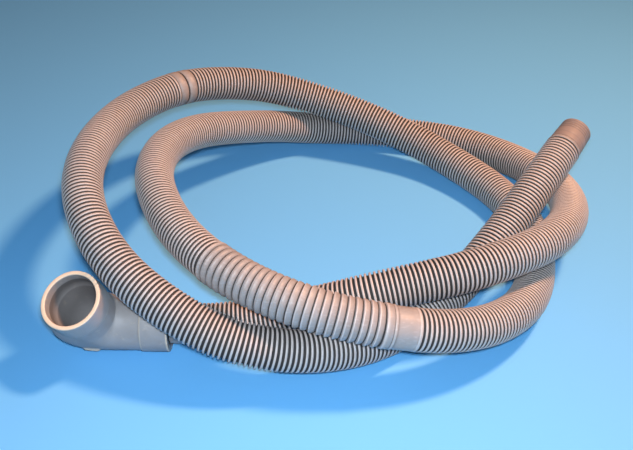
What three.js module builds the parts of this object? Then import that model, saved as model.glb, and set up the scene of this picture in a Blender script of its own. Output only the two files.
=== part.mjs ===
import * as THREE from 'three';

// A corrugated drain hose lying in one and a half loose loops on the floor. A soft elbow
// cuff is on one end, lying on the floor with its mouth turned up, and a short straight
// cuff is on the other. Millimetres, +Z up, the floor at z = 0.

// Hose
const HOSE_DIAMETER = 28;
const HOSE_SIDES = 12;
const HOSE_STEPS = 80;
const CUFF_GAP = 0.3;

// Elbow cuff: collar on the hose's end, body, bend, mouth
const COLLAR_DIAMETER = 38.6;
const COLLAR_LENGTH = 18.5;
const COLLAR_EDGE = 0.8;
const LEG_DIAMETER = 36.8;
const LEG_LENGTH = 33.4;
const LEG_BORE = 23;
const BEND_RADIUS = 19.6;
const BEND_ANGLE = 77.8;
const BEND_TILT = 28;
const HEEL_BULGE = 9;
const HEEL_LAG = 1.3;
const THROAT_DIAMETER = 38.8;
const THROAT_LENGTH = 11;
const MOUTH_DIAMETER = 40.4;
const MOUTH_LENGTH = 15;
const MOUTH_BORE = 34.6;
const MOUTH_BORE_DEPTH = 13;
const RIM_EDGE = 0.7;
const BORE_STEP = 1.4;
const ELBOW_SIDES = 32;
const BEND_STATIONS = 10;

// End cuff
const END_CUFF_DIAMETER = 26.8;
const END_CUFF_TIP_DIAMETER = 24.9;
const END_CUFF_LENGTH = 22;
const END_CUFF_BORE = 21;
const END_CUFF_EDGE = 0.6;
const END_CUFF_SIDES = 40;

// Where the middle of the plan lies in the numbers below
const PLAN_CENTRE = new THREE.Vector2(-0.95, -9);

// Height of the hose as it leaves the elbow, whose collar rests on the floor
const LEG_HEIGHT = COLLAR_DIAMETER / 2;

// Middle line of the hose, from the elbow's collar to the end cuff. It climbs to the right,
// turns over on itself, runs round the inner loop, crosses the floor at the right, climbs
// round the high outer loop on the left and comes back across the middle.
const ROUTE = [
  [-117, -126, LEG_HEIGHT], [-87, -126, LEG_HEIGHT], [-45, -124, 25.5], [20, -123, 45.5],
  [87.5, -108, 54.5], [143, -71, 50.5], [171, -22, 41], [172.5, 34.5, 30],
  [145, 91.5, 19.5], [99, 127.5, 15], [32.5, 143.5, 15], [-22, 137.5, 20.5],
  [-68.5, 112.5, 36], [-116, 62, 59.5], [-137, 13, 71.5], [-136, -40, 75],
  [-111, -94.5, 71.5], [-67.5, -136.5, 66], [-10.5, -157, 56], [56, -154.5, 41],
  [104.5, -128.5, 27.5], [135.5, -82, 17.5], [147, -15.5, 15.5], [131, 40.5, 15],
  [89.5, 89.5, 21], [37, 118.5, 36], [-24, 135.5, 52], [-79.5, 130, 68],
  [-133, 98.5, 80.5], [-171, 43.5, 85.5], [-184, -28, 89.5], [-174.5, -84.5, 82],
  [-142, -129.5, 64], [-87.5, -157.5, 41.5], [-32.5, -159.5, 27], [21.5, -137, 17],
  [71, -95, 18.5], [111.5, -52.5, 36.5], [149.5, -4, 56.5], [173.5, 29, 67],
].map(([x, y, z]) => new THREE.Vector3(x - PLAN_CENTRE.x, y - PLAN_CENTRE.y, z));

const route = new THREE.CatmullRomCurve3(ROUTE, false, 'catmullrom', 0.5);
route.arcLengthDivisions = 2000;

function material(color, roughness) {
  return new THREE.MeshStandardMaterial({ color, roughness, metalness: 0 });
}

function node(name, geometry, look) {
  const mesh = new THREE.Mesh(geometry, look);
  mesh.name = name;
  return mesh;
}

// The hose is a plain tube over the crests of its ribs.
function hoseGeometry() {
  const section = new THREE.Shape();
  const radius = HOSE_DIAMETER / 2;
  for (let i = 0; i < HOSE_SIDES; i += 1) {
    const angle = (i / HOSE_SIDES) * 2 * Math.PI;
    const point = [radius * Math.cos(angle), radius * Math.sin(angle)];
    if (i === 0) section.moveTo(...point);
    else section.lineTo(...point);
  }
  section.closePath();
  return new THREE.ExtrudeGeometry(section, {
    steps: HOSE_STEPS,
    extrudePath: route,
    bevelEnabled: false,
    curveSegments: 1,
  });
}

// Middle line of the elbow: a straight leg out of the collar's face, a bend in a plane that
// leans BEND_TILT away from upright, and a straight mouth. It starts at the origin along +Y.
// Returns the point, the direction, and the direction of the heel, the bend's outer side.
const bendAngle = THREE.MathUtils.degToRad(BEND_ANGLE);
const bendLength = BEND_RADIUS * bendAngle;
const elbowLength = LEG_LENGTH + bendLength + THROAT_LENGTH + MOUTH_LENGTH;
const throatEnd = LEG_LENGTH + bendLength + THROAT_LENGTH;

function elbowStation(distance) {
  const turned = Math.min(Math.max((distance - LEG_LENGTH) / BEND_RADIUS, 0), bendAngle);
  const inLeg = Math.min(distance, LEG_LENGTH);
  const pastBend = Math.max(distance - LEG_LENGTH - bendLength, 0);
  const direction = new THREE.Vector3(0, Math.cos(turned), Math.sin(turned));
  const heel = new THREE.Vector3(0, Math.sin(turned), -Math.cos(turned));
  const point = new THREE.Vector3(
    0,
    inLeg + BEND_RADIUS * Math.sin(turned),
    BEND_RADIUS * (1 - Math.cos(turned)),
  ).addScaledVector(direction, pastBend);
  return { point, heel };
}

// Share of the way from the end of the leg to the mouth's step
function bendShare(distance) {
  const share = (distance - LEG_LENGTH) / (throatEnd - LEG_LENGTH);
  return Math.min(Math.max(share, 0), 1);
}

function elbowRing(distance, radius, bulge) {
  const { point, heel } = elbowStation(distance);
  const side = new THREE.Vector3(1, 0, 0);
  const ring = [];
  for (let i = 0; i < ELBOW_SIDES; i += 1) {
    const angle = (i / ELBOW_SIDES) * 2 * Math.PI;
    const out = Math.cos(angle);
    const reach = radius + bulge * Math.max(out, 0) ** 2;
    ring.push(point.clone()
      .addScaledVector(heel, reach * out)
      .addScaledVector(side, reach * Math.sin(angle)));
  }
  return ring;
}

// The elbow is one closed skin: up the outside from the collar's face to the rim, over the
// rim, and back down the bore to the collar's face.
function elbowGeometry() {
  const rings = [];
  const collar = COLLAR_DIAMETER / 2;
  const leg = LEG_DIAMETER / 2;
  const throat = THROAT_DIAMETER / 2;
  const mouth = MOUTH_DIAMETER / 2;
  const mouthBore = MOUTH_BORE / 2;
  const boreEnd = elbowLength - MOUTH_BORE_DEPTH;
  rings.push(elbowRing(0, collar - COLLAR_EDGE, 0));
  rings.push(elbowRing(COLLAR_EDGE, collar, 0));
  rings.push(elbowRing(COLLAR_LENGTH - COLLAR_EDGE, collar, 0));
  rings.push(elbowRing(COLLAR_LENGTH, leg, 0));
  for (let i = 0; i <= BEND_STATIONS; i += 1) {
    const distance = LEG_LENGTH + (i / BEND_STATIONS) * (throatEnd - LEG_LENGTH);
    const share = bendShare(distance);
    const bulge = HEEL_BULGE * Math.sin(Math.PI * share ** HEEL_LAG);
    rings.push(elbowRing(distance, leg + (throat - leg) * share, bulge));
  }
  rings.push(elbowRing(throatEnd + RIM_EDGE, mouth, 0));
  rings.push(elbowRing(elbowLength - RIM_EDGE, mouth, 0));
  rings.push(elbowRing(elbowLength, mouth - RIM_EDGE, 0));
  rings.push(elbowRing(elbowLength, mouthBore + RIM_EDGE, 0));
  rings.push(elbowRing(elbowLength - RIM_EDGE, mouthBore, 0));
  rings.push(elbowRing(boreEnd, mouthBore, 0));
  for (let i = BEND_STATIONS; i >= 0; i -= 1) {
    const distance = LEG_LENGTH + (i / BEND_STATIONS) * (boreEnd - BORE_STEP - LEG_LENGTH);
    const share = bendShare(distance);
    const narrow = mouthBore - BORE_STEP;
    rings.push(elbowRing(distance, LEG_BORE / 2 + (narrow - LEG_BORE / 2) * share, 0));
  }
  rings.push(elbowRing(0, LEG_BORE / 2, 0));

  const positions = rings.flat().flatMap((corner) => corner.toArray());
  const indices = [];
  rings.forEach((ring, row) => {
    const here = row * ELBOW_SIDES;
    const there = ((row + 1) % rings.length) * ELBOW_SIDES;
    ring.forEach((corner, i) => {
      const next = (i + 1) % ELBOW_SIDES;
      indices.push(here + i, there + next, here + next);
      indices.push(here + i, there + i, there + next);
    });
  });
  const geometry = new THREE.BufferGeometry();
  geometry.setAttribute('position', new THREE.Float32BufferAttribute(positions, 3));
  geometry.setIndex(indices);
  geometry.computeVertexNormals();
  return geometry;
}

// The end cuff starts at the origin and points along +Y.
function endCuffGeometry() {
  const base = END_CUFF_DIAMETER / 2;
  const tip = END_CUFF_TIP_DIAMETER / 2;
  const bore = END_CUFF_BORE / 2;
  const profile = [
    [bore, 0],
    [base - END_CUFF_EDGE, 0],
    [base, END_CUFF_EDGE],
    [tip, END_CUFF_LENGTH - END_CUFF_EDGE],
    [tip - END_CUFF_EDGE, END_CUFF_LENGTH],
    [bore, END_CUFF_LENGTH],
    [bore, 0],
  ].map(([radius, along]) => new THREE.Vector2(radius, along));
  return new THREE.LatheGeometry(profile, END_CUFF_SIDES);
}

const ALONG = new THREE.Vector3(0, 1, 0);
const start = route.getPointAt(0);
const startDirection = route.getTangentAt(0);
const end = route.getPointAt(1);
const endDirection = route.getTangentAt(1);

const hose = node('corrugated_hose', hoseGeometry(), material(0x8c8488, 0.45));

// The collar's face stands CUFF_GAP off the hose's first face. The leg runs on level, away
// from the hose, and the bend's plane leans out over the near side.
const elbow = node('elbow_cuff', elbowGeometry(), material(0x7f858f, 0.5));
const legDirection = new THREE.Vector3(-startDirection.x, -startDirection.y, 0).normalize();
const lean = THREE.MathUtils.degToRad(BEND_TILT);
const up = new THREE.Vector3(0, 0, 1);
const across = new THREE.Vector3().crossVectors(legDirection, up);
const bendUp = up.clone().multiplyScalar(Math.cos(lean))
  .addScaledVector(across, -Math.sin(lean));
const bendSide = new THREE.Vector3().crossVectors(legDirection, bendUp);
elbow.quaternion.setFromRotationMatrix(
  new THREE.Matrix4().makeBasis(bendSide, legDirection, bendUp),
);
elbow.position.copy(start).addScaledVector(legDirection, CUFF_GAP);

const endCuff = node('end_cuff', endCuffGeometry(), material(0x8d8385, 0.5));
endCuff.quaternion.setFromUnitVectors(ALONG, endDirection);
endCuff.position.copy(end).addScaledVector(endDirection, CUFF_GAP);

const drainHose = new THREE.Group();
drainHose.add(hose, elbow, endCuff);

export default drainHose;
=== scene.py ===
"""A corrugated drain hose on a pale floor, with an elbow cuff and a straight end cuff.

Metres, +Z up, the floor at z = 0. Every skin is a grid of rings worked out as whole
arrays: a ring is a circle, sometimes with a bulge, set square to a middle line.
"""

import math

import bpy
import numpy as np
from mathutils import Matrix, Vector


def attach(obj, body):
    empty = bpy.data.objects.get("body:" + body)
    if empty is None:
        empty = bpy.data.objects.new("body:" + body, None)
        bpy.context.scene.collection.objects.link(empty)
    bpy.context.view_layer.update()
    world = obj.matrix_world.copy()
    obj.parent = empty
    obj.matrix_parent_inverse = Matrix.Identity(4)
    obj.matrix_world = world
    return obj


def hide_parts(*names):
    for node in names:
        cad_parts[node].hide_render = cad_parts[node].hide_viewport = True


bl_info = {
    "name": "Drain Hose",
    "version": (1, 0, 0),
    "blender": (4, 5, 0),
    "location": "3D View > Sidebar > Drain Hose",
    "description": "Builds a ribbed drain hose with its two cuffs on a plain floor",
    "category": "Add Mesh",
}

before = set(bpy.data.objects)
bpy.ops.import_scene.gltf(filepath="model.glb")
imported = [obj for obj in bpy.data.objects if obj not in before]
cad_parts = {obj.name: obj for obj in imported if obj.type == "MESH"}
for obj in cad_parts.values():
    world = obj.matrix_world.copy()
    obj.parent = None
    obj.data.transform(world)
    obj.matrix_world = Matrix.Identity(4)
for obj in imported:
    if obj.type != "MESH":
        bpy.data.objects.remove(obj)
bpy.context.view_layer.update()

MM = 0.001
TWO_PI = 2.0 * math.pi

# Middle line of the hose, from the elbow's collar to the end cuff, and the middle of its
# plan, both in millimetres as in the frame's own source
PLAN_CENTRE = np.array([-0.95, -9.0, 0.0])
COLLAR_HEIGHT = 19.3
ROUTE = (np.array([
    [-117, -126, COLLAR_HEIGHT], [-87, -126, COLLAR_HEIGHT], [-45, -124, 25.5], [20, -123, 45.5],
    [87.5, -108, 54.5], [143, -71, 50.5], [171, -22, 41], [172.5, 34.5, 30],
    [145, 91.5, 19.5], [99, 127.5, 15], [32.5, 143.5, 15], [-22, 137.5, 20.5],
    [-68.5, 112.5, 36], [-116, 62, 59.5], [-137, 13, 71.5], [-136, -40, 75],
    [-111, -94.5, 71.5], [-67.5, -136.5, 66], [-10.5, -157, 56], [56, -154.5, 41],
    [104.5, -128.5, 27.5], [135.5, -82, 17.5], [147, -15.5, 15.5], [131, 40.5, 15],
    [89.5, 89.5, 21], [37, 118.5, 36], [-24, 135.5, 52], [-79.5, 130, 68],
    [-133, 98.5, 80.5], [-171, 43.5, 85.5], [-184, -28, 89.5], [-174.5, -84.5, 82],
    [-142, -129.5, 64], [-87.5, -157.5, 41.5], [-32.5, -159.5, 27], [21.5, -137, 17],
    [71, -95, 18.5], [111.5, -52.5, 36.5], [149.5, -4, 56.5], [173.5, 29, 67],
]) - PLAN_CENTRE) * MM

# How far the two cuffs stand off the hose's end faces
CUFF_GAP = 0.0003

# Points round each piece, and rings along the hose's bore
HOSE_TURNS = 28
ELBOW_TURNS = 96
END_TURNS = 96
BORE_RINGS = 200

# Fine ribs: the starts and ends of the flat crest and of the flat groove as shares of the
# pitch, with the depth mark of each and the give of all. A depth mark above zero paints
# shade into a groove, and one below zero paints a highlight onto a crest.
FINE_SHARES = np.array([0.10, 0.51, 0.60, 1.0])
FINE_MARKS = (-0.7, -0.7, 3.0, 3.0)
FINE_GIVE = 0.2

# Wide ribs: their number, places of a rib's rings as shares of the pitch, and at each of
# them the height of a round band and of a stepped sleeve, as shares of the full height, and
# how much painted highlight the sleeve's edge gets
WIDE_COUNT = 24
WIDE_SHARES = np.array([0.0, 0.07, 0.15, 0.32, 0.54, 0.74, 0.88, 0.95])
ROUND_BAND = np.array([0.0, 0.38, 0.72, 1.0, 1.0, 0.80, 0.46, 0.15])
STEPPED_SLEEVE = np.array([0.0, 0.72, 1.0, 0.95, 0.86, 0.70, 0.42, 0.06])
SLEEVE_HIGHLIGHT = np.array([0.0, 0.5, 1.0, 0.1, 0.0, 0.0, 0.0, 0.0])

# Where the bands start to turn into sleeves and how long that takes, as shares of the
# stretch, and the give of a band and how much of it a sleeve has lost
SLEEVES_FROM = 0.1
SLEEVES_OVER = 0.5
BAND_GIVE = 0.95
GIVE_LOST = 0.75

# Depth marks of the wide ribs: the painted shade in the grooves, the power with which it
# fades with height, what is taken off all over, which lightens the whole stretch a little,
# and what is taken off at the edges for a painted highlight
WIDE_SHADE = 0.95
SHADE_FADE = 1.5
WIDE_LIGHTENING = 0.15
EDGE_HIGHLIGHT = 0.85

# Plain stretches before the wide ribs and at the end cuff, and how far a band's edge
# turns in
WIDE_LEAD = 0.0035
END_PLAIN = 0.0034
BAND_EDGE = 0.0003

# Bends: the distance to each side at which the direction is taken, the least tightness
# that is told from none, the bend radius at which the fine and the wide ribs are pulled
# fully, and how far that closes the grooves on the inner side, and opens and deepens those
# of the wide ribs on the outer side
BEND_REACH = 0.006
LEAST_TIGHT = 1e-6
FINE_PULL = 0.12
WIDE_PULL = 0.25
CLOSING = 1.2
OPENING = 0.7
DEEPENING = 0.6

# Rings along the elbow's bend, outside and in the bore, and the small round at the foot of
# the collar: distances past the collar, and heights over the leg
BEND_RINGS = 64
BEND_BORE_RINGS = 30
FOOT_PAST = np.array([0.0002, 0.0010])
FOOT_RISE = np.array([0.0001, 0.0])

# How much painted highlight the elbow's edges get: the collar's first edge, most of all
# half-way round it, the collar's second edge, the foot of the mouth's cuff, and the lug
COLLAR_HIGHLIGHT = 0.9
HALF_ROUND = 0.7
COLLAR_BACK_HIGHLIGHT = 0.35
MOUTH_FOOT_HIGHLIGHT = 0.25
LUG_HIGHLIGHT = 1.2

# Inside the mouth: how deep the bore stays without painted shade, from where it gets
# painted shade, and how much painted shade the mouth and the bores get
UNSHADED_DEPTH = 0.0060
SHADE_START = 0.0068
MOUTH_SHADE = 1.5
BORE_SHADE = 1.0

# The lug: degrees from the heel round to its middle, degrees that it turns in a millimetre
# along, half its width and the width of its soft sides in degrees, and its soft ends
LUG_ANGLE = 294.0
LUG_SKEW = 1.85
LUG_HALF_WIDTH = 7.0
LUG_SOFT_SIDE = 3.0
LUG_SOFT_END = 0.0008

# Rings along the end cuff, and its ring grooves: place along it and depth of each, their
# width, and how much painted shade they get for each metre of depth
END_RINGS = 64
RING_GROOVES = ((0.0052, 0.00020), (0.0122, 0.00040), (0.0146, 0.00045),
                (0.0170, 0.00045), (0.0193, 0.00045))
RING_GROOVE_WIDTH = 0.00045
RING_GROOVE_SHADE = 1800

# Places of the camera and of the lights, and the point that the lights face
CAMERA_PLACE = (-0.01905, -0.5530, 0.4193)
KEY_PLACE = (0.510, 0.090, 0.990)
FILL_PLACE = (-0.25, -1.25, 0.95)
FRONT_PLACE = (-0.012, -0.549, 0.446)
LIT_POINT = (0.0, 0.0, 0.04)

# Widths and tints of the lights
KEY_WIDTH = 0.15
FILL_WIDTH = 1.1
FRONT_WIDTH = 0.035
WARM = (1.0, 0.50, 0.26)
COOL = (0.78, 0.90, 1.0)

# Sky and floor
SKY = (0.62, 0.80, 1.0, 1.0)
SKY_STRENGTH = 0.10
FLOOR_REACH = 6.0
FLOOR_ROUGHNESS = 0.75


# Settings


def length(name, description, default):
    """A size in metres."""
    return bpy.props.FloatProperty(name=name, description=description, default=default,
                                   min=0.0, precision=5, unit="LENGTH")


def angle(name, description, degrees):
    """An angle, stored in radians."""
    return bpy.props.FloatProperty(name=name, description=description,
                                   default=math.radians(degrees), subtype="ANGLE")


def colour(name, description, default):
    """A colour in linear light."""
    return bpy.props.FloatVectorProperty(name=name, description=description,
                                         default=default, size=3, min=0.0, max=1.0,
                                         subtype="COLOR")


def power(name, description, default):
    """A lamp's strength in watts."""
    return bpy.props.FloatProperty(name=name, description=description, default=default,
                                   min=0.0, unit="POWER")


class HoseSizes(bpy.types.PropertyGroup):
    crest: length("Crest Radius", "Radius over the crests of the fine ribs", 0.0140)
    groove: length("Groove Radius", "Radius at the floor of the fine grooves", 0.0123)
    bore: length("Bore Radius", "Radius of the smooth way through the hose", 0.0112)
    pitch: length("Rib Pitch", "From one fine rib to the next", 0.00308)
    sleeve: length("Sleeve", "Plain stretch at the elbow's collar", 0.0120)
    wide_start: length("Wide Start", "Along the hose to the wide ribs", 0.9752)
    wide_end: length("Wide End", "Along the hose to the last wide rib's end", 1.0950)
    wide_crest: length("Wide Crest", "Radius over the wide ribs", 0.0147)
    wide_groove: length("Wide Groove", "Radius in the grooves of the wide ribs", 0.0127)
    band_end: length("Band End", "Along the hose to the end of the plain band", 1.1160)
    band: length("Band Radius", "Radius of the plain band after the wide ribs", 0.01385)
    pair_start: length("Pair Start", "Along the hose to the pair of collars", 1.6822)
    pair_gap: length("Pair Gap", "Along the hose to the groove between them", 1.6912)
    pair_end: length("Pair End", "Along the hose to the end of the pair", 1.7007)
    pair: length("Pair Radius", "Radius of the pair of collars", 0.01415)


class ElbowSizes(bpy.types.PropertyGroup):
    collar: length("Collar Radius", "Radius of the collar that grips the hose", 0.0193)
    collar_length: length("Collar Length", "Along the leg", 0.0185)
    leg: length("Leg Radius", "Radius of the leg past the collar", 0.0184)
    leg_length: length("Leg Length", "From the collar's face to the bend", 0.0334)
    leg_bore: length("Leg Bore", "Radius of the way through the leg", 0.0115)
    bend_radius: length("Bend Radius", "Radius of the bend's middle line", 0.0196)
    bend: angle("Bend", "How far the elbow turns", 77.8)
    lean: angle("Lean", "How far the mouth leans to the near side", 28.0)
    heel: length("Heel", "How far the heel of the bend swells", 0.0090)
    heel_lag: bpy.props.FloatProperty(name="Heel Lag", default=1.3, min=0.5, max=3.0,
                                      description="Moves the swelling to the mouth")
    throat: length("Throat Radius", "Radius below the mouth's cuff", 0.0194)
    throat_length: length("Throat Length", "From the bend to the cuff", 0.0110)
    mouth: length("Mouth Radius", "Radius of the mouth's cuff", 0.0202)
    mouth_length: length("Mouth Length", "Length of the mouth's cuff", 0.0150)
    mouth_bore: length("Mouth Bore", "Radius of the mouth's opening", 0.0173)
    mouth_depth: length("Mouth Depth", "From the rim to the step inside", 0.0130)
    step: length("Step", "Width of the step inside the mouth", 0.0014)
    lug: length("Lug", "Height of the lug low on the near side", 0.0014)
    lug_length: length("Lug Length", "Length of the lug", 0.0070)
    lug_place: length("Lug Place", "Along the elbow to the lug's middle", 0.0470)
    edge: length("Edge", "Roundness of the rim and the collar", 0.0007)


class EndCuffSizes(bpy.types.PropertyGroup):
    base: length("Base Radius", "Radius at the hose", 0.0134)
    tip: length("Tip Radius", "Radius at the opening", 0.01245)
    bore: length("Bore Radius", "Radius of the opening", 0.0105)
    span: length("Length", "Along the cuff", 0.0220)
    edge: length("Edge", "Roundness of the two edges", 0.0006)


class Finishes(bpy.types.PropertyGroup):
    hose: colour("Hose", "Ribbed plastic of the hose", (0.29, 0.255, 0.246))
    # Colour of the painted shade in the grooves and in the bore
    hose_groove_shade: colour("Hose Grime", "Dust and soap in the grooves", (0.014, 0.012, 0.012))
    elbow: colour("Elbow", "Rubber of the elbow cuff", (0.27, 0.25, 0.25))
    # Colour of scuffs and of the painted highlight on the elbow's edges and lug
    elbow_pale: colour("Elbow Pale", "Rubbed edges of the elbow cuff", (0.82, 0.63, 0.45))
    cuff: colour("End Cuff", "Rubber of the end cuff", (0.225, 0.182, 0.172))
    # Colour of scuffs and of the painted highlight on the end cuff's tip
    cuff_pale: colour("End Cuff Pale", "Rubbed edges of the end cuff", (0.44, 0.31, 0.24))


class StageSettings(bpy.types.PropertyGroup):
    floor: colour("Floor", "Plain pale floor", (0.13, 0.44, 0.84))
    lens: bpy.props.FloatProperty(name="Lens", default=49.59, unit="CAMERA",
                                  description="Focal length on a 36 mm sensor")
    pitch: angle("Pitch", "How far the camera looks down", 36.03)
    roll: angle("Roll", "Turn of the camera about its view", 0.63)
    key: power("Key", "Warm soft light from high on the right", 18.0)
    fill: power("Fill", "Cool soft light from the camera's side", 2.0)
    front: power("Front", "Small cool light just over the camera", 4.4)


class DrainHoseSettings(bpy.types.PropertyGroup):
    hose: bpy.props.PointerProperty(type=HoseSizes, name="Hose",
                                    description="Sizes of the hose")
    elbow: bpy.props.PointerProperty(type=ElbowSizes, name="Elbow",
                                     description="Sizes of the elbow cuff")
    end: bpy.props.PointerProperty(type=EndCuffSizes, name="End Cuff",
                                   description="Sizes of the end cuff")
    finish: bpy.props.PointerProperty(type=Finishes, name="Finishes",
                                      description="Colours of the pieces")
    stage: bpy.props.PointerProperty(type=StageSettings, name="Stage",
                                     description="Floor, lights and camera")


# Shapes


def route_line(knots, per_span=60):
    """Points, unit directions and distances along the curve through the knots.

    Between two knots the curve is the cubic whose slope at each knot is half the step
    from the knot before to the knot after. The two end knots get a mirrored neighbour.
    """
    before = 2 * knots[:1] - knots[1:2]
    after = 2 * knots[-1:] - knots[-2:-1]
    chain = np.concatenate([before, knots, after])[:, None, :]
    near, far = chain[1:-2], chain[2:-1]
    leaving = (far - chain[:-3]) / 2
    arriving = (chain[3:] - near) / 2
    share = np.linspace(0, 1, per_span, endpoint=False)[None, :, None]
    third = 2 * near - 2 * far + leaving + arriving
    second = -3 * near + 3 * far - 2 * leaving - arriving
    line = (third * share**3 + second * share**2 + leaving * share + near).reshape(-1, 3)
    way = (3 * third * share**2 + 2 * second * share + leaving).reshape(-1, 3)
    line = np.concatenate([line, knots[-1:]])
    way = np.concatenate([way, arriving[-1]])
    along = np.concatenate([[0.0], np.cumsum(np.linalg.norm(np.diff(line, axis=0), axis=1))])
    return line, way / np.linalg.norm(way, axis=1, keepdims=True), along


LINE, WAY, ALONG = route_line(ROUTE)
HOSE_LENGTH = float(ALONG[-1])


def line_at(along):
    """Point and unit direction of the route at each distance."""
    point = np.stack([np.interp(along, ALONG, LINE[:, k]) for k in range(3)], 1)
    way = np.stack([np.interp(along, ALONG, WAY[:, k]) for k in range(3)], 1)
    return point, way / np.linalg.norm(way, axis=1, keepdims=True)


def stations(along):
    """Point, upward and sideways directions of the route at each distance.

    Upward is the part of +Z that is square to the route, so nothing twists.
    """
    point, way = line_at(along)
    side = np.cross(way, [0.0, 0.0, 1.0])
    side /= np.linalg.norm(side, axis=1, keepdims=True)
    return point, np.cross(side, way), side


def full_turn(count):
    """Angles once round in equal steps."""
    return np.arange(count) * TWO_PI / count


def rounded(points):
    """Sines and cosines of a quarter turn in equal steps, for the round of an edge."""
    turn = np.linspace(0, math.pi / 2, points)
    return np.sin(turn), np.cos(turn)


def table(*columns):
    """Rings as rows: the columns side by side, each one value or a value for each ring."""
    level = [column.ravel() for column in np.broadcast_arrays(*columns)]
    return np.stack(level, 1).astype(float)


def ring_grid(point, first, second, reach):
    """Rings of points: each is its middle plus reach along a turning direction.

    The direction turns from first through second, and reach is a grid of rings by turns.
    """
    turn = full_turn(reach.shape[1])
    around = (first[:, None, :] * np.cos(turn)[None, :, None]
              + second[:, None, :] * np.sin(turn)[None, :, None])
    return point[:, None, :] + reach[:, :, None] * around


def closed_skin(name, grid, along, marks):
    """A mesh piece of rings, the last of which joins the first.

    grid is rings by turns by xyz, along a length for each ring, and marks a dictionary of
    values for each ring or each point. The UV map is once round by metres along.
    """
    rings, turns = grid.shape[:2]
    ring, spot = np.meshgrid(np.arange(rings), np.arange(turns), indexing="ij")
    here, there = ring * turns, (ring + 1) % rings * turns
    beside = (spot + 1) % turns
    faces = np.stack([here + spot, here + beside, there + beside, there + spot], -1)
    mesh = bpy.data.meshes.new(name)
    mesh.vertices.add(rings * turns)
    mesh.vertices.foreach_set("co", grid.astype(np.float32).ravel())
    mesh.loops.add(faces.size)
    mesh.loops.foreach_set("vertex_index", faces.astype(np.int32).ravel())
    mesh.polygons.add(rings * turns)
    mesh.polygons.foreach_set("loop_start", np.arange(0, faces.size, 4, dtype=np.int32))
    mesh.polygons.foreach_set("use_smooth", np.ones(rings * turns, bool))
    mesh.update(calc_edges=True)
    round_here, round_next = spot / turns, (spot + 1) / turns
    up_here = np.broadcast_to(along[:, None], (rings, turns))
    up_next = np.where(ring == rings - 1, up_here, np.roll(up_here, -1, 0))
    uv = np.stack([
        np.stack([round_here, up_here], -1), np.stack([round_next, up_here], -1),
        np.stack([round_next, up_next], -1), np.stack([round_here, up_next], -1),
    ], 2)
    layer = mesh.uv_layers.new(name="Around")
    layer.uv.foreach_set("vector", uv.astype(np.float32).ravel())
    for mark, values in marks.items():
        whole = np.broadcast_to(values.reshape(rings, -1), (rings, turns))
        stored = mesh.attributes.new(mark, "FLOAT", "POINT")
        stored.data.foreach_set("value", whole.astype(np.float32).ravel())
    mesh.validate()
    piece = bpy.data.objects.new(name, mesh)
    bpy.context.scene.collection.objects.link(piece)
    return piece


def settle(piece, node, material):
    """Puts a finished piece in the place of its solid and gives it its material."""
    piece.data.materials.append(material)
    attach(piece, "root")
    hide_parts(node)


# Materials


class Shade:
    """One output of a material's nodes; a sum, difference or product adds a Math node."""

    def __init__(self, tree, socket=None):
        self.tree = tree
        self.socket = socket

    def node(self, kind, settings=None, sockets=None, out=0):
        """Adds a node: its settings first, then the values or links of its sockets."""
        made = self.tree.nodes.new(kind)
        for key, value in (settings or {}).items():
            setattr(made, key, value)
        for key, value in (sockets or {}).items():
            if isinstance(value, Shade):
                self.tree.links.new(value.socket, made.inputs[key])
            else:
                made.inputs[key].default_value = value
        return Shade(self.tree, made.outputs[out])

    def sum(self, operation, *values):
        """A Math node on values or links."""
        return self.node("ShaderNodeMath", {"operation": operation},
                         dict(enumerate(values)))

    def __add__(self, other):
        return self.sum("ADD", self, other)

    def __sub__(self, other):
        return self.sum("SUBTRACT", self, other)

    def __rsub__(self, other):
        return self.sum("SUBTRACT", other, self)

    def __mul__(self, other):
        return self.sum("MULTIPLY", self, other)

    __radd__ = __add__
    __rmul__ = __mul__

    def spread(self, low, high):
        """From 0 at low to 1 at high, smoothed and held outside."""
        return self.node("ShaderNodeMapRange", {"interpolation_type": "SMOOTHSTEP"},
                         {"Value": self, "From Min": low, "From Max": high})

    def mark(self, name):
        """The values that a piece carries under this name."""
        return self.node("ShaderNodeAttribute", {"attribute_name": name}, out="Fac")

    def noise(self, where, scale, detail, rough=0.55):
        """Cloudy noise from 0 to 1."""
        return self.node("ShaderNodeTexNoise", {},
                         {"Vector": where, "Scale": scale, "Detail": detail,
                          "Roughness": rough})

    def blend(self, factor, first, second):
        """A colour between two, each of them a plain colour or a link."""
        mixed = self.node("ShaderNodeMix", {"data_type": "RGBA"}, {0: factor}, out=2)
        inputs = mixed.socket.node.inputs
        for socket, value in ((inputs[6], first), (inputs[7], second)):
            if isinstance(value, Shade):
                self.tree.links.new(value.socket, socket)
            else:
                socket.default_value = (*value, 1.0)
        return mixed


def scaled(tint, factor):
    """A colour made darker or lighter, each part no more than 1."""
    return tuple(min(1.0, part * factor) for part in tint)


def finish_material(name, specular, paint):
    """A material whose Principled shader gets what paint returns for its sockets."""
    material = bpy.data.materials.new(name)
    material.use_nodes = True
    tree = material.node_tree
    shader = tree.nodes["Principled BSDF"]
    shader.inputs["Specular IOR Level"].default_value = specular
    base = Shade(tree)
    for socket, value in paint(base).items():
        tree.links.new(value.socket, shader.inputs[socket])
    return material


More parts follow.
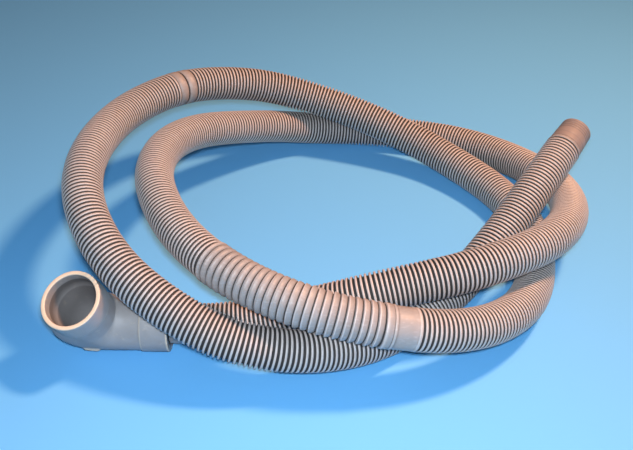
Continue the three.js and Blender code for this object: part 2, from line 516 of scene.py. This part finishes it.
def hose_material(finish):
    """Semi-gloss ribbed plastic: painted groove shade, painted crest highlights, wear, mould
    seams.
    """

    def paint(base):
        place = base.node("ShaderNodeTexCoord", out="Object")
        unwrapped = base.node("ShaderNodeUVMap", {"uv_map": "Around"})
        turn = base.node("ShaderNodeSeparateXYZ", {}, {"Vector": unwrapped}, out="X")
        depth = base.mark("depth")
        cloud = base.noise(place, scale=22.0, detail=3.0)
        speck = base.noise(place, scale=900.0, detail=2.0, rough=0.6)
        stretched = base.node("ShaderNodeVectorMath", {"operation": "MULTIPLY"},
                              {0: unwrapped, 1: (14.0, 60.0, 1.0)})
        streak = base.noise(stretched, scale=4.0, detail=2.0)
        # Painted shade in the grooves and the bore, from depth marks above zero
        groove_shade = (depth * (0.85 + 0.25 * cloud)).spread(0.0, 0.60)
        tone = base.blend(cloud.spread(0.35, 0.65), scaled(finish.hose, 0.93),
                          scaled(finish.hose, 1.06))
        # Painted highlight on crests and edges, from depth marks below zero, with random wear
        # streaks
        edge = (0 - depth).spread(0.0, 1.0)
        highlight_and_wear = (1 - groove_shade) * streak.spread(0.50, 0.72) * 0.18 + 0.75 * edge
        tone = base.blend(highlight_and_wear, tone, scaled(finish.hose, 2.0))
        seam_place = base.sum("ABSOLUTE", base.sum("ABSOLUTE", turn - 0.5) - 0.25)
        seam = (1 - seam_place.spread(0.0, 0.006)) * (1 - groove_shade)
        tone = base.blend(seam * 0.12, tone, scaled(finish.hose, 0.7))
        tone = base.blend(groove_shade * 0.95, tone, finish.hose_groove_shade)
        rough = 0.40 + 0.12 * streak + 0.30 * groove_shade + 0.06 * speck
        height = 0.55 * speck + 0.45 * streak + 0.8 * seam
        bump = base.node("ShaderNodeBump", {},
                         {"Strength": 0.18, "Distance": 0.0002, "Height": height})
        return {"Base Color": tone, "Roughness": rough, "Normal": bump}

    return finish_material("Ribbed_Plastic", specular=0.5, paint=paint)


def rubber_material(name, body, pale, smooth):
    """Moulded rubber: cloudy tone, scuffs, painted highlight on edges, painted shade inside.

    Its roughness is that of the smooth places and more where it is scuffed or inside.
    """

    def paint(base):
        place = base.node("ShaderNodeTexCoord", out="Object")
        edge = base.mark("edge")
        inside = base.mark("inside")
        cloud = base.noise(place, scale=38.0, detail=4.0)
        speck = base.noise(place, scale=1300.0, detail=2.0, rough=0.6)
        scuff = base.noise(place, scale=140.0, detail=5.0, rough=0.65)
        tone = base.blend(cloud.spread(0.32, 0.68), scaled(body, 0.90), scaled(body, 1.12))
        tone = base.blend(scuff.spread(0.56, 0.74) * 0.20, tone, pale)
        # Painted highlight on the edges and the lug, broken up by the scuffs
        tone = base.blend(edge * (0.55 + 0.45 * scuff), tone, pale)
        # Painted shade inside the mouth and the bores
        tone = base.blend(inside * 0.5, tone, scaled(body, 0.22))
        rough = smooth + 0.16 * scuff + 0.05 * speck + 0.10 * inside
        height = 0.5 * speck + 0.5 * scuff
        bump = base.node("ShaderNodeBump", {},
                         {"Strength": 0.22, "Distance": 0.0003, "Height": height})
        return {"Base Color": tone, "Roughness": rough, "Normal": bump}

    return finish_material(name, specular=0.45, paint=paint)


# Pieces


def fine_ribs(start, end, size):
    """Rings of the fine ribs from start to end: distance, radius, depth mark and give.

    A rib has four rings, two at its crest and two at its groove, and the skin runs
    straight from one to the next. Give is how far a groove closes on the inner side of a
    bend.
    """
    count = round((end - start) / size.pitch)
    pitch = (end - start) / count
    along = start + (np.arange(count)[:, None] + FINE_SHARES) * pitch
    radius = (size.crest, size.crest, size.groove, size.groove)
    return table(along, radius, FINE_MARKS, FINE_GIVE)


def wide_ribs(start, end, size):
    """Rings of the wide ribs: round bands that turn into stepped sleeves.

    The height over the groove is a round hill over each band at the start, and further on
    a steep rise to an edge with a slow fall behind it; the blend between the two
    grows with the distance. The edges get a painted highlight and the grooves painted
    shade. The rings hold the same values as those of the fine ribs.
    """
    rib = np.arange(WIDE_COUNT)[:, None]
    mix = np.clip((rib / WIDE_COUNT - SLEEVES_FROM) / SLEEVES_OVER, 0, 1)
    shape = (1 - mix) * ROUND_BAND + mix * STEPPED_SLEEVE
    radius = size.wide_groove + (size.wide_crest - size.wide_groove) * shape
    mark = WIDE_SHADE * (1 - shape) ** SHADE_FADE - WIDE_LIGHTENING - EDGE_HIGHLIGHT * SLEEVE_HIGHLIGHT
    along = start + (rib + WIDE_SHARES) * (end - start) / WIDE_COUNT
    return table(along, radius, mark, BAND_GIVE - GIVE_LOST * mix)


def plain(start, radius, *rows):
    """Rings given one by one, without any give.

    A row holds a distance past start, a drop below radius, and a depth mark.
    """
    past, drop, mark = np.array(rows).T
    return table(start + past, radius - drop, mark, 0.0)


def hose_rings(size):
    """All rings of the hose's outside, from the elbow's collar to the end cuff."""
    cuff = size.wide_crest
    fine_end = HOSE_LENGTH - END_PLAIN
    # The last value of each row is a depth mark: above zero it paints shade, below zero a
    # highlight.
    return np.concatenate([
        plain(0.0, size.band, (0.0, BAND_EDGE, 0.3), (BAND_EDGE, 0.0, 0.0),
              (size.sleeve / 2, 0.0, 0.0), (size.sleeve - BAND_EDGE, 0.0, 0.0)),
        fine_ribs(size.sleeve, size.wide_start, size),
        plain(size.wide_start, cuff, (0.0003, 0.0004, -0.6), (0.0012, 0.0, -0.8),
              (0.0024, 0.0, -0.3), (0.0031, 0.0006, 0.2)),
        wide_ribs(size.wide_start + WIDE_LEAD, size.wide_end, size),
        plain(size.wide_end, size.wide_groove, (0.0, -0.0004, 0.8)),
        plain(size.wide_end, cuff, (0.0004, 0.0003, -0.5), (0.0008, 0.0, -0.8),
              (0.0026, 0.0001, 0.0), (0.0048, 0.0003, 0.0), (0.0053, 0.0008, 0.5),
              (0.0058, 0.0003, -0.4), (0.0068, 0.0003, -0.4)),
        plain(size.wide_end, size.band, (0.0073, 0.0, 0.25), (0.0088, 0.0, 0.0)),
        plain(size.band_end, size.band, (-0.0060, 0.0, 0.0), (-0.0012, 0.0, -0.3),
              (-0.0005, BAND_EDGE, 0.0)),
        fine_ribs(size.band_end, size.pair_start, size),
        plain(size.pair_start, size.pair, (0.0004, 0.0, 0.0), (0.0030, 0.0, 0.0)),
        plain(size.pair_gap, size.pair, (-0.0013, 0.0, -0.3)),
        plain(size.pair_gap, size.groove, (-0.0007, 0.0, 1.0), (0.0006, 0.0, 1.0)),
        plain(size.pair_gap, size.pair, (0.0012, 0.0, -0.3), (0.0040, 0.0, 0.0)),
        plain(size.pair_end, size.pair, (-0.0009, 0.0, 0.0)),
        plain(size.pair_end, size.groove, (-0.0004, 0.0, 1.0)),
        fine_ribs(size.pair_end, fine_end, size),
        plain(fine_end, size.crest, (0.0005, 0.0, -0.3), (0.0015, 0.0, 0.0)),
        plain(HOSE_LENGTH, size.crest, (-0.0006, 0.0004, 0.0), (0.0002, 0.0006, 0.0)),
    ])


def bend_of(along):
    """Unit direction of the inner side of the bend and its tightness at each distance.

    The tightness is how far the direction turns in a metre, one over the bend's radius.
    """
    _, before = line_at(along - BEND_REACH)
    _, after = line_at(along + BEND_REACH)
    turn = (after - before) / (2 * BEND_REACH)
    tight = np.linalg.norm(turn, axis=1, keepdims=True)
    return turn / np.maximum(tight, LEAST_TIGHT), tight


def hose_reach(rings, up, side, size):
    """Radius of the hose at each ring and turn, and how far its groove is closed there.

    On the inner side of a bend a groove closes: it gets shallower with the ring's give,
    the bend's tightness and how squarely the spot faces the bend's middle. On the outer
    side the wide ribs open: their grooves get deeper, and the bands between them narrower.
    """
    inner, tight = bend_of(rings[:, 0])
    turn = full_turn(HOSE_TURNS)
    facing = ((inner * up).sum(1, keepdims=True) * np.cos(turn)
              + (inner * side).sum(1, keepdims=True) * np.sin(turn))
    along, radius, give = rings[:, :1], rings[:, 1:2], rings[:, 3:]
    wide = (along > size.wide_start) & (along < size.wide_end)
    pull = np.minimum(tight * np.where(wide, WIDE_PULL, FINE_PULL), 1.0)
    closed = np.clip(facing * pull * CLOSING, 0.0, 1.0) * give
    opened = np.clip(-facing * pull, 0.0, 1.0) * wide * OPENING
    top = np.where(wide, size.wide_crest, size.crest)
    height = size.wide_crest - size.wide_groove
    fall = (top - radius) / height
    narrower = np.maximum(fall, 0.0) ** (1.0 - opened) - fall
    reach = (radius + (top - radius) * (closed - DEEPENING * opened)
             - narrower * height * wide)
    return reach, closed


def build_hose(settings):
    """The hose: its outer rings, then rings of the bore back to the start."""
    size = settings.hose
    # The bore's rings carry a depth mark of one, which paints shade into the bore.
    bore = table(np.linspace(HOSE_LENGTH, 0.0, BORE_RINGS), size.bore, 1.0, 0.0)
    rings = np.concatenate([hose_rings(size), bore])
    point, up, side = stations(rings[:, 0])
    reach, closed = hose_reach(rings, up, side, size)
    grid = ring_grid(point, up, side, reach)
    # Where a groove closes in a bend its painted shade is lessened.
    piece = closed_skin("Corrugated_Hose", grid, rings[:, 0],
                        {"depth": rings[:, 2:3] * (1 - closed)})
    settle(piece, "corrugated_hose", hose_material(settings.finish))
    return piece


def cuff_rings(distance, radius, swell=0.0, highlight_and_wear=0.0, painted_shade=0.0):
    """Rings of a cuff: distance, radius, swelling, painted highlight and painted shade."""
    return table(distance, radius, swell, highlight_and_wear, painted_shade)


def elbow_middle(distance, size):
    """Point and heel direction of the elbow's middle line, in its own axes.

    The line runs straight along +Y, turns towards +Z on an arc and runs straight again.
    The heel is the outer side of the bend.
    """
    turned = np.clip((distance - size.leg_length) / size.bend_radius, 0, size.bend)
    past = np.maximum(distance - size.leg_length - size.bend_radius * size.bend, 0)
    zero = np.zeros_like(turned)
    way = np.stack([zero, np.cos(turned), np.sin(turned)], 1)
    heel = np.stack([zero, np.sin(turned), -np.cos(turned)], 1)
    forward = np.minimum(distance, size.leg_length) + size.bend_radius * np.sin(turned)
    rise = size.bend_radius * (1 - np.cos(turned))
    return np.stack([zero, forward, rise], 1) + way * past[:, None], heel


def elbow_axes(size):
    """The elbow's own axes and origin in the room, with the leg along its +Y.

    The leg runs level away from the hose's first face, and the bend's plane leans out
    from upright over the near side.
    """
    leg = -WAY[0] * np.array([1.0, 1.0, 0.0])
    leg /= np.linalg.norm(leg)
    up = np.array([0.0, 0.0, 1.0])
    across = np.cross(leg, up)
    mouth = up * math.cos(size.lean) - across * math.sin(size.lean)
    return np.stack([np.cross(leg, mouth), leg, mouth]), ROUTE[0] + leg * CUFF_GAP


def lug(rings, turn, size):
    """Height of the small moulded lug low on the near side, for each ring and turn.

    It is a flat-topped patch with soft sides that runs a little askew along the heel.
    """
    along = rings[:, :1] - size.lug_place
    askew = np.degrees(turn) - LUG_ANGLE - LUG_SKEW * along / MM
    outside = rings[:, 4:5] == 0
    ends = np.clip((size.lug_length / 2 - np.abs(along)) / LUG_SOFT_END, 0, 1)
    sides = np.clip((LUG_HALF_WIDTH - np.abs(askew)) / LUG_SOFT_SIDE, 0, 1)
    return size.lug * ends * sides * outside


def elbow_rings(size):
    """Rings of the elbow: up the outside, over the rim and back down the bore.

    The swelling of the bend grows and fades along it as a sine, later than half-way.
    """
    bend_end = size.leg_length + size.bend_radius * size.bend
    throat_end = bend_end + size.throat_length
    total = throat_end + size.mouth_length
    edge = size.edge
    sine, cosine = rounded(5)
    bend = np.linspace(0, 1, BEND_RINGS)
    bend_at = size.leg_length + bend * (throat_end - size.leg_length)
    swell = size.heel * np.sin(np.pi * bend ** size.heel_lag)
    swell[-1] = 0.0
    bore_end = total - size.mouth_depth
    back = np.linspace(1, 0, BEND_BORE_RINGS)
    back_at = size.leg_length + back * (bore_end - size.step - size.leg_length)
    back_share = np.clip((back_at - size.leg_length) / (throat_end - size.leg_length), 0, 1)
    narrow = size.mouth_bore - size.step
    # Rings at the edges carry a painted highlight, and rings in the mouth and bore painted
    # shade.
    return np.concatenate([
        cuff_rings(edge * (1 - cosine), size.collar - edge + edge * sine,
                   highlight_and_wear=COLLAR_HIGHLIGHT * (1 - np.abs(sine - HALF_ROUND))),
        cuff_rings(np.linspace(2 * edge, size.collar_length - 2 * edge, 6), size.collar),
        cuff_rings(size.collar_length - edge + edge * sine, size.collar - edge + edge * cosine,
                   highlight_and_wear=COLLAR_BACK_HIGHLIGHT),
        cuff_rings(size.collar_length + FOOT_PAST, size.leg + FOOT_RISE),
        cuff_rings(bend_at, size.leg + (size.throat - size.leg) * bend, swell),
        cuff_rings(throat_end + edge * sine, size.mouth - edge + edge * sine,
                   highlight_and_wear=MOUTH_FOOT_HIGHLIGHT),
        cuff_rings(np.linspace(throat_end + 2 * edge, total - 2 * edge, 5), size.mouth),
        cuff_rings(total - edge + edge * sine, size.mouth - edge + edge * cosine, highlight_and_wear=sine),
        cuff_rings(total - edge + edge * cosine, size.mouth_bore + edge - edge * sine,
                   highlight_and_wear=cosine),
        cuff_rings(np.linspace(total - 2 * edge, total - UNSHADED_DEPTH, 4), size.mouth_bore),
        cuff_rings(np.linspace(total - SHADE_START, bore_end, 3), size.mouth_bore,
                   painted_shade=MOUTH_SHADE),
        cuff_rings(back_at, size.leg_bore + (narrow - size.leg_bore) * back_share,
                   painted_shade=BORE_SHADE),
        cuff_rings(0.0, size.leg_bore, painted_shade=BORE_SHADE),
    ])


def build_elbow(settings):
    """The elbow: its rings are circles with a swelling on the heel's side and the lug."""
    size = settings.elbow
    rings = elbow_rings(size)
    point, heel = elbow_middle(rings[:, 0], size)
    side = np.broadcast_to([1.0, 0.0, 0.0], point.shape)
    turn = full_turn(ELBOW_TURNS)
    lobe = np.maximum(np.cos(turn), 0.0) ** 2
    bump = lug(rings, turn, size)
    reach = rings[:, 1:2] + rings[:, 2:3] * lobe + bump
    axes, origin = elbow_axes(size)
    grid = ring_grid(point, heel, side, reach) @ axes + origin
    # The edge mark is a painted highlight, on the lug's top too; the inside mark is painted
    # shade.
    piece = closed_skin("Elbow_Cuff", grid, rings[:, 0],
                        {"edge": rings[:, 3:4] + LUG_HIGHLIGHT * bump / size.lug,
                         "inside": rings[:, 4]})
    look = rubber_material("Elbow_Rubber", settings.finish.elbow,
                           settings.finish.elbow_pale, smooth=0.40)
    settle(piece, "elbow_cuff", look)


def build_end_cuff(settings):
    """The end cuff: a profile turned about the line of the hose's end.

    Its side runs straight from base to tip, less the grooves, which are bell curves. The
    edge at the hose is a third as round as the open one.
    """
    size = settings.end
    edge = size.edge
    span = size.span
    sine, cosine = rounded(4)
    body_at = np.linspace(2 * edge, span - 2 * edge, END_RINGS)
    body = size.base + (size.tip - size.base) * body_at / span
    groove = sum(np.exp(-((body_at - place) / RING_GROOVE_WIDTH) ** 2) * depth
                 for place, depth in RING_GROOVES)
    # The tip's edges carry a painted highlight; the ring grooves and the bore carry painted
    # shade.
    rings = np.concatenate([
        cuff_rings(edge * (1 - cosine) / 3, size.base - (edge - edge * sine) / 3),
        cuff_rings(body_at, body - groove, painted_shade=groove * RING_GROOVE_SHADE),
        cuff_rings(span - edge + edge * sine, size.tip - edge + edge * cosine, highlight_and_wear=sine),
        cuff_rings(span - edge + edge * cosine, size.bore + edge - edge * sine, highlight_and_wear=cosine),
        cuff_rings(np.linspace(span - 2 * edge, 0.0, 12), size.bore, painted_shade=BORE_SHADE),
    ])
    way = WAY[-1]
    side = np.cross(way, [0.0, 0.0, 1.0])
    side /= np.linalg.norm(side)
    up = np.cross(side, way)
    point = ROUTE[-1] + way * CUFF_GAP + rings[:, :1] * way
    reach = np.repeat(rings[:, 1:2], END_TURNS, axis=1)
    grid = ring_grid(point, np.broadcast_to(up, point.shape),
                     np.broadcast_to(side, point.shape), reach)
    piece = closed_skin("End_Cuff", grid, rings[:, 0],
                        {"edge": rings[:, 3], "inside": rings[:, 4]})
    look = rubber_material("End_Cuff_Rubber", settings.finish.cuff,
                           settings.finish.cuff_pale, smooth=0.42)
    settle(piece, "end_cuff", look)


# Stage


def build_camera(stage):
    """The camera at the photograph's place: it looks along +Y, down and a little rolled."""
    level = Vector((1.0, 0.0, 0.0))
    forward = Vector((0.0, math.cos(stage.pitch), -math.sin(stage.pitch)))
    level_up = Vector((0.0, math.sin(stage.pitch), math.cos(stage.pitch)))
    right = level * math.cos(stage.roll) + level_up * math.sin(stage.roll)
    up = level_up * math.cos(stage.roll) - level * math.sin(stage.roll)
    data = bpy.data.cameras.new("Camera")
    data.sensor_fit = "HORIZONTAL"
    data.sensor_width = 36.0
    data.lens = stage.lens
    data.clip_start = 0.01
    data.clip_end = 20.0
    camera = bpy.data.objects.new("Camera", data)
    turn = Matrix((right, up, -forward)).transposed()
    camera.matrix_world = Matrix.Translation(CAMERA_PLACE) @ turn.to_4x4()
    bpy.context.scene.collection.objects.link(camera)
    bpy.context.scene.camera = camera


def area_light(name, place, width, watts, tint):
    """A round soft light that faces the middle of the hose."""
    data = bpy.data.lights.new(name, "AREA")
    data.shape = "DISK"
    data.size = width
    data.energy = watts
    data.color = tint
    light = bpy.data.objects.new(name, data)
    light.location = place
    aim = Vector(LIT_POINT) - Vector(place)
    light.rotation_euler = aim.to_track_quat("-Z", "Y").to_euler()
    bpy.context.scene.collection.objects.link(light)


def build_floor(tint):
    """A wide plain floor at z = 0: one square."""
    low, high = -FLOOR_REACH, FLOOR_REACH
    corners = [(low, low, 0.0), (high, low, 0.0), (high, high, 0.0), (low, high, 0.0)]
    mesh = bpy.data.meshes.new("Floor")
    mesh.from_pydata(corners, [], [(0, 1, 2, 3)])
    floor = bpy.data.objects.new("Floor", mesh)
    bpy.context.scene.collection.objects.link(floor)
    material = bpy.data.materials.new("Floor_Paint")
    material.use_nodes = True
    shader = material.node_tree.nodes["Principled BSDF"]
    shader.inputs["Base Color"].default_value = (*tint, 1.0)
    shader.inputs["Roughness"].default_value = FLOOR_ROUGHNESS
    mesh.materials.append(material)


def build_sky():
    """A dim pale world all round."""
    world = bpy.data.worlds.new("Studio")
    world.use_nodes = True
    sky = world.node_tree.nodes["Background"]
    sky.inputs["Color"].default_value = SKY
    sky.inputs["Strength"].default_value = SKY_STRENGTH
    bpy.context.scene.world = world


def build_stage(stage):
    """The floor, the sky and three soft lights."""
    build_floor(stage.floor)
    build_sky()
    area_light("Key", KEY_PLACE, KEY_WIDTH, stage.key, WARM)
    area_light("Fill", FILL_PLACE, FILL_WIDTH, stage.fill, COOL)
    area_light("Front", FRONT_PLACE, FRONT_WIDTH, stage.front, COOL)
    bpy.context.scene.view_settings.view_transform = "Standard"


class DRAINHOSE_OT_camera(bpy.types.Operator):
    """Place the camera at the photograph's angle"""

    bl_idname = "drainhose.camera"
    bl_label = "Camera"

    def execute(self, context):
        build_camera(context.scene.drain_hose.stage)
        return {"FINISHED"}


class DRAINHOSE_OT_end_cuff(bpy.types.Operator):
    """Build the short straight cuff on the hose's far end"""

    bl_idname = "drainhose.end_cuff"
    bl_label = "End Cuff"

    def execute(self, context):
        build_end_cuff(context.scene.drain_hose)
        return {"FINISHED"}


class DRAINHOSE_OT_hose(bpy.types.Operator):
    bl_idname = "drainhose.hose"
    bl_label = "Hose"

    def execute(self, context):
        settings = context.scene.drain_hose
        piece = build_hose(settings)
        return {"FINISHED"}


class DRAINHOSE_OT_elbow(bpy.types.Operator):
    """Build the elbow cuff that lies on the floor with its mouth up"""

    bl_idname = "drainhose.elbow"
    bl_label = "Elbow Cuff"

    def execute(self, context):
        build_elbow(context.scene.drain_hose)
        return {"FINISHED"}


class DRAINHOSE_OT_stage(bpy.types.Operator):
    """Build the floor and the lights"""

    bl_idname = "drainhose.stage"
    bl_label = "Stage"

    def execute(self, context):
        build_stage(context.scene.drain_hose.stage)
        return {"FINISHED"}


STEPS = (DRAINHOSE_OT_camera, DRAINHOSE_OT_end_cuff, DRAINHOSE_OT_hose,
         DRAINHOSE_OT_elbow, DRAINHOSE_OT_stage)


class DRAINHOSE_PT_panel(bpy.types.Panel):
    """The steps that build the hose"""

    bl_idname = "DRAINHOSE_PT_panel"
    bl_label = "Drain Hose"
    bl_space_type = "VIEW_3D"
    bl_region_type = "UI"
    bl_category = "Drain Hose"

    def draw(self, context):
        for step in STEPS:
            self.layout.operator(step.bl_idname)


CLASSES = (HoseSizes, ElbowSizes, EndCuffSizes, Finishes, StageSettings,
           DrainHoseSettings, *STEPS, DRAINHOSE_PT_panel)


def register():
    """Adds the classes and the scene's settings."""
    for cls in CLASSES:
        bpy.utils.register_class(cls)
    bpy.types.Scene.drain_hose = bpy.props.PointerProperty(
        type=DrainHoseSettings, name="Drain Hose", description="Settings of the drain hose")


def unregister():
    """Takes the settings and the classes away again."""
    del bpy.types.Scene.drain_hose
    for cls in reversed(CLASSES):
        bpy.utils.unregister_class(cls)


def main():
    """Builds the camera, the pieces and the stage."""
    register()
    bpy.ops.drainhose.camera()
    bpy.ops.drainhose.end_cuff()
    bpy.ops.drainhose.hose()
    bpy.ops.drainhose.elbow()
    bpy.ops.drainhose.stage()


if __name__ == "__main__":
    main()
